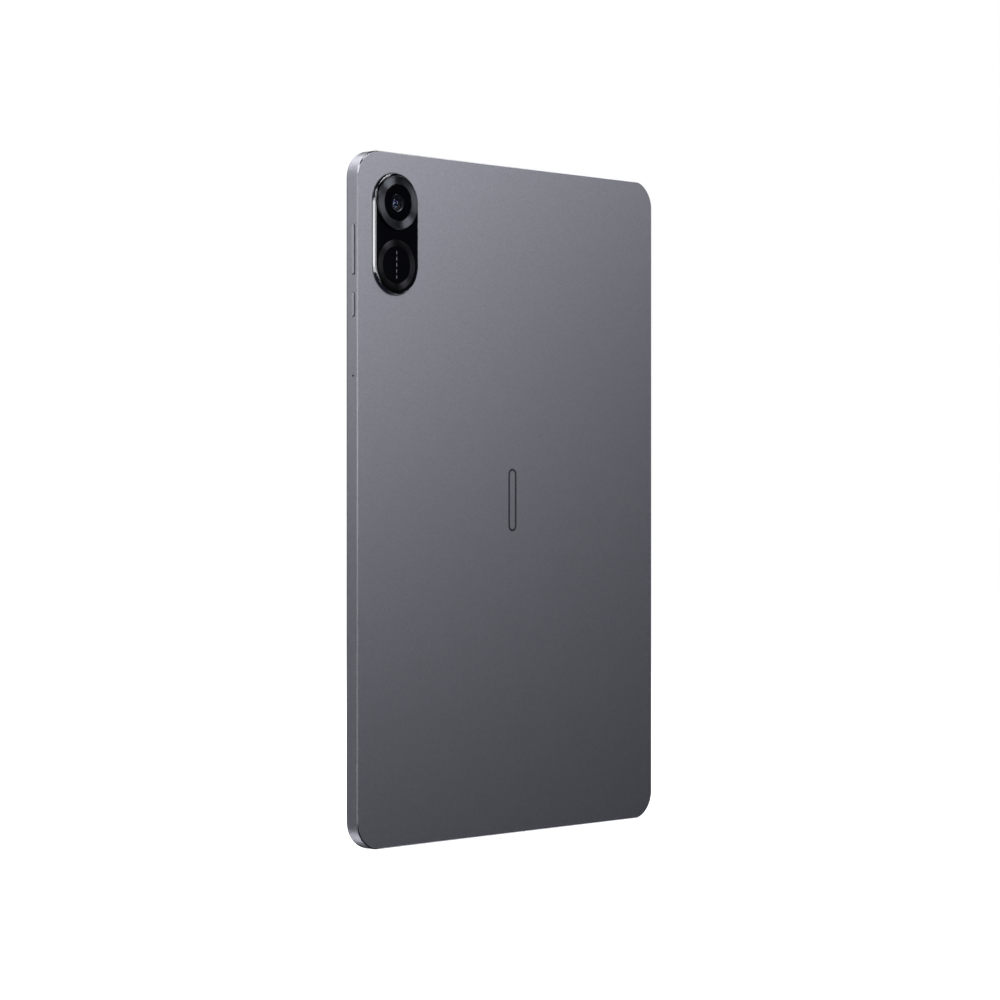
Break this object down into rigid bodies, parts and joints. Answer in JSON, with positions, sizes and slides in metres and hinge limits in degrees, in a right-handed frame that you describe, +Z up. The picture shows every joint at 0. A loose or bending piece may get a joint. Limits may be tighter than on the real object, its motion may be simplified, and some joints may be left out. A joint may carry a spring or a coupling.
{
  "type": "tablet computer",
  "caption": "Slim tablet computer with a grey aluminium rear cover, pill-shaped camera island, side keys, glass front and a full set of inner parts.",
  "frame": {"origin": "middle of the bottom short edge, on the surface that the tablet stands on", "axes": "+Z up along the long side, +Y out of the back face, +X towards the side with the keys"},
  "size_m": [0.1677, 0.0091, 0.2673],
  "materials": {
    "anodised_cover": "fine blasted and anodised grey",
    "antenna_plastic": "smooth moulded grey",
    "mark_ink": "dark flush inlay",
    "frame_plastic": "fine moulded black",
    "cover_glass": "polished, rounded edge",
    "black_print": "printed black",
    "foam_tape": "closed-cell foam",
    "screen": "dark, switched off",
    "guide_acrylic": "milky clear",
    "lamp_phosphor": "yellow phosphor on white",
    "stamped_steel": "stamped, satin",
    "flex_film": "amber film over copper",
    "polished_rim": "diamond-cut bright grey",
    "gloss_plate": "glossy black",
    "decor_metal": "dark turned-metal look under gloss",
    "mark_silver": "pale grey print",
    "brushed_ring": "dark, turned in circles",
    "lens_cover": "clear, polished",
    "trim_chrome": "bright",
    "magnet_nickel": "nickel plated",
    "filter_glass": "pale blue, coated",
    "sensor_die": "dark die on green board",
    "barrel_plastic": "ribbed black",
    "coated_lens": "blue-violet coated",
    "copper_wire": "enamelled copper winding",
    "anodised_keys": "fine blasted and anodised grey, polished edge",
    "dome_steel": "bright domes under film",
    "board_laminate": "green solder mask with gold pads",
    "chip_epoxy": "black epoxy",
    "shield_tin": "tinned, satin",
    "graphite_sheet": "dark graphite film",
    "screw_steel": "blackened steel",
    "socket_steel": "drawn, satin",
    "tongue_plastic": "black with gold contacts",
    "pouch_foil": "dark grey laminated foil",
    "white_tape": "white adhesive film",
    "speaker_plastic": "moulded black",
    "mesh_fabric": "fine black woven mesh",
    "cone_film": "pale stiff film",
    "microphone_can": "gold-plated can",
    "antenna_carrier": "copper track on plastic"
  },
  "bodies": {
    "housing": {"rear_cover": "anodised_cover", "antenna_breaks": "antenna_plastic", "emblem_inlay": "mark_ink", "display_frame": "frame_plastic", "cover_glass": "cover_glass", "bezel_print": "black_print", "display_tape": "foam_tape", "lcd_panel": "screen", "light_guide": "guide_acrylic", "led_strip": "lamp_phosphor", "backlight_tray": "stamped_steel", "display_flex": "flex_film", "camera_rim": "polished_rim", "camera_plate": "gloss_plate", "decor_ring": "decor_metal", "plate_mark": "mark_silver", "lens_turret": "brushed_ring", "lens_glass": "lens_cover", "lens_mask": "black_print", "lens_trim_ring": "trim_chrome", "camera_gasket": "foam_tape", "camera_housing": "stamped_steel", "focus_magnets": "magnet_nickel", "ir_filter": "filter_glass", "image_sensor": "sensor_die", "camera_flex": "flex_film", "front_camera": "barrel_plastic", "front_camera_lens": "coated_lens", "key_bracket": "stamped_steel", "key_flex": "flex_film", "dome_switches": "dome_steel", "main_board": "board_laminate", "board_chips": "chip_epoxy", "shield_cans": "shield_tin", "heat_spreader": "graphite_sheet", "board_screws": "screw_steel", "usb_board": "board_laminate", "usb_shell": "socket_steel", "usb_tongue": "tongue_plastic", "main_flex": "flex_film", "battery_cells": "pouch_foil", "battery_board": "board_laminate", "battery_tape": "white_tape", "speaker_boxes": "speaker_plastic", "speaker_magnets": "magnet_nickel", "speaker_meshes": "mesh_fabric", "microphones": "microphone_can", "antennas": "antenna_carrier"},
    "rocker": {"volume_rocker": "anodised_keys"},
    "power_key": {"power_button": "anodised_keys"},
    "focus_group": {"lens_barrel": "barrel_plastic", "lens_elements": "coated_lens", "focus_coil": "copper_wire"},
    "cone_1": {"speaker_cone_1": "cone_film"},
    "cone_2": {"speaker_cone_2": "cone_film"},
    "cone_3": {"speaker_cone_3": "cone_film"},
    "cone_4": {"speaker_cone_4": "cone_film"}
  },
  "joints": [
    {"name": "rocker_tilt", "type": "hinge", "parent": "housing", "child": "rocker", "pos_m": [0.0813, 0.0009, 0.229], "axis": [0, 1, 0], "range_deg": [-1.5, 1.5], "stiffness_Nm_per_rad": 0.3},
    {"name": "power_press", "type": "slide", "parent": "housing", "child": "power_key", "axis": [-1, 0, 0], "range_m": [0, 0.0003], "stiffness_N_per_m": 2000},
    {"name": "focus_slide", "type": "slide", "parent": "housing", "child": "focus_group", "axis": [0, 1, 0], "range_m": [0, 0.0003], "stiffness_N_per_m": 60},
    {"name": "cone_1_stroke", "type": "slide", "parent": "housing", "child": "cone_1", "axis": [0, 1, 0], "range_m": [-0.00025, 0.00025], "stiffness_N_per_m": 800},
    {"name": "cone_2_stroke", "type": "slide", "parent": "housing", "child": "cone_2", "axis": [0, 1, 0], "range_m": [-0.00025, 0.00025], "stiffness_N_per_m": 800},
    {"name": "cone_3_stroke", "type": "slide", "parent": "housing", "child": "cone_3", "axis": [0, 1, 0], "range_m": [-0.00025, 0.00025], "stiffness_N_per_m": 800},
    {"name": "cone_4_stroke", "type": "slide", "parent": "housing", "child": "cone_4", "axis": [0, 1, 0], "range_m": [-0.00025, 0.00025], "stiffness_N_per_m": 800}
  ]
}
